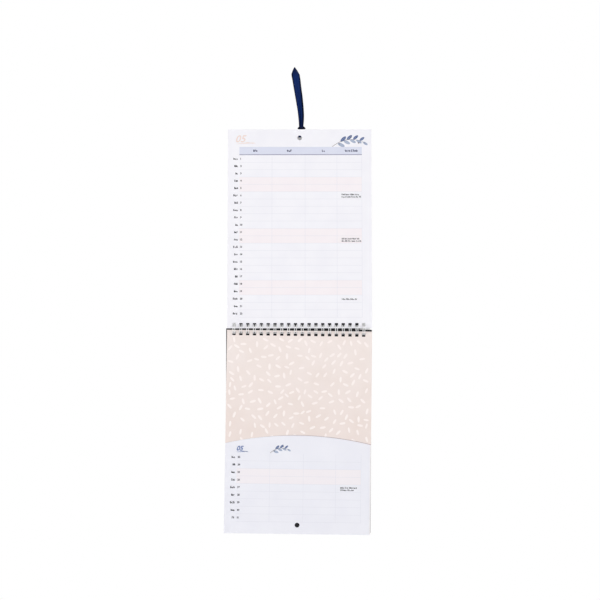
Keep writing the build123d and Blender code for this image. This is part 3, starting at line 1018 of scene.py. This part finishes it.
def stage_plane(name, first, last, finish):
    """A flat stage surface from its first corner to the opposite one, facing the room."""
    (x0, y0, z0), (x1, y1, z1) = first, last
    corners = [(x0, y0, z0), (x1, y0, z0), (x1, y1, z1), (x0, y1, z1)]
    mesh = bpy.data.meshes.new(name)
    mesh.from_pydata(corners, [], [(0, 1, 2, 3)])
    mesh.materials.append(finish)
    plane = bpy.data.objects.new(name, mesh)
    bpy.context.scene.collection.objects.link(plane)


def shown_rays(f):
    """1 for what the camera sees itself, or sees in gloss or through glass."""
    path = f.node("ShaderNodeLightPath")
    outputs = path.socket.node.outputs
    return sum(Link(f, outputs[name]) for name in ("Is Camera Ray", "Is Glossy Ray", "Is Transmission Ray"))


def wall_finish():
    """White wall that only shows from its front, so that the calendar's back can be seen.

    It shines evenly around the calendar. Inside the calendar's outline it takes a little painted light,
    an emission that lifts the calendar's shadow, and this painted light grows towards both sides above
    and below the wire, so that the shadow fades there. Behind the punched row the wall is matt and
    near black, painted shade where no light comes through the wire.
    """
    f = Finish("pale wall")
    across, _, height = f.parts(f.place())
    from_middle, from_wire = abs(across - SHADOW_X), abs(height - WIRE_ROW_Z)
    beside = (from_middle - SHADOW_HALF_WIDTH).between(0, 0.002)
    above = (abs(height - SHADOW_Z) - SHADOW_HALF_HEIGHT).between(0, 0.002)
    behind = (1 - beside) * (1 - above)
    front = 1 - f.node("ShaderNodeNewGeometry", output="Backfacing")
    # painted shade behind the punched row, and painted light inside the outline that grows towards the sides
    along = across.between(*WIRE_LEFT) * (1 - across.between(*WIRE_RIGHT))
    painted_row_shade = (1 - from_wire.between(0.013, 0.018)) * along
    sides = from_middle.between(0.056, 0.086) * from_wire.between(0.011, 0.024)
    shadow = 0.7 - 0.7 * sides
    glow = 1 - behind * (painted_row_shade + shadow * (1 - painted_row_shade))
    shade = f.mix(painted_row_shade, (0.97, 0.97, 0.97, 1), (0.04, 0.035, 0.045, 1))
    matt = f.node("ShaderNodeBsdfDiffuse", inputs={"Color": shade})
    bright = f.node("ShaderNodeEmission", inputs={"Color": (1, 1, 1, 1), "Strength": 1})
    face = f.node("ShaderNodeMixShader", inputs={0: glow, 1: matt, 2: bright})
    clear = f.node("ShaderNodeBsdfTransparent")
    shown = f.node("ShaderNodeMixShader", inputs={0: shown_rays(f) * front, 1: clear, 2: face})
    f.node("ShaderNodeOutputMaterial", inputs={"Surface": shown})
    return f.material


def floor_finish():
    """Pale floor with faint clouds of tone; it shines a little, and keeps the object's shadow."""
    f = Finish("pale floor")
    cloud = f.noise(f.place(), 3, 3)
    matt = f.node("ShaderNodeBsdfDiffuse", inputs={
        "Color": f.mix(cloud, (0.95, 0.95, 0.95, 1), (0.92, 0.92, 0.92, 1)),
    })
    bright = f.node("ShaderNodeEmission", inputs={"Color": (1, 1, 1, 1), "Strength": 1})
    lit = f.node("ShaderNodeMixShader", inputs={0: shown_rays(f) * 0.72, 1: matt, 2: bright})
    f.node("ShaderNodeOutputMaterial", inputs={"Surface": lit})
    return f.material


stage_plane("wall", (-STAGE_REACH, WALL_Y, FLOOR_Z), (STAGE_REACH, WALL_Y, WALL_TOP), wall_finish())
stage_plane(
    "floor", (-STAGE_REACH, -STAGE_REACH, FLOOR_Z), (STAGE_REACH, STAGE_REACH, FLOOR_Z), floor_finish()
)


def area_lamp(name, place, size, power):
    """Square soft lamp that faces the calendar's middle."""
    data = bpy.data.lights.new(name, "AREA")
    data.size, data.energy = size, power
    lamp = bpy.data.objects.new(name, data)
    lamp.location = place
    aim = np.array(LIT_MIDDLE, float) - np.array(place, float)
    pitch = math.acos(-aim[2] / np.linalg.norm(aim))
    lamp.rotation_euler = (pitch, 0, math.atan2(aim[1], aim[0]) - math.pi / 2)
    bpy.context.scene.collection.objects.link(lamp)


area_lamp("key lamp", (-1.5, -1.5, -1.0), size=1.0, power=24.5)
area_lamp("fill lamp", (1.3, -1.9, 0.7), size=1.6, power=15.6)

room = Finish("soft room", bpy.data.worlds)
soft = room.node("ShaderNodeBackground", inputs={"Color": (1, 1, 1, 1), "Strength": ROOM_LIGHT})
white = room.node("ShaderNodeBackground", inputs={"Color": (1, 1, 1, 1), "Strength": 1.0})
seen = room.node("ShaderNodeMixShader", inputs={0: shown_rays(room), 1: soft, 2: white})
room.node("ShaderNodeOutputWorld", inputs={"Surface": seen})
bpy.context.scene.world = room.material
bpy.context.scene.view_settings.view_transform = "Standard"
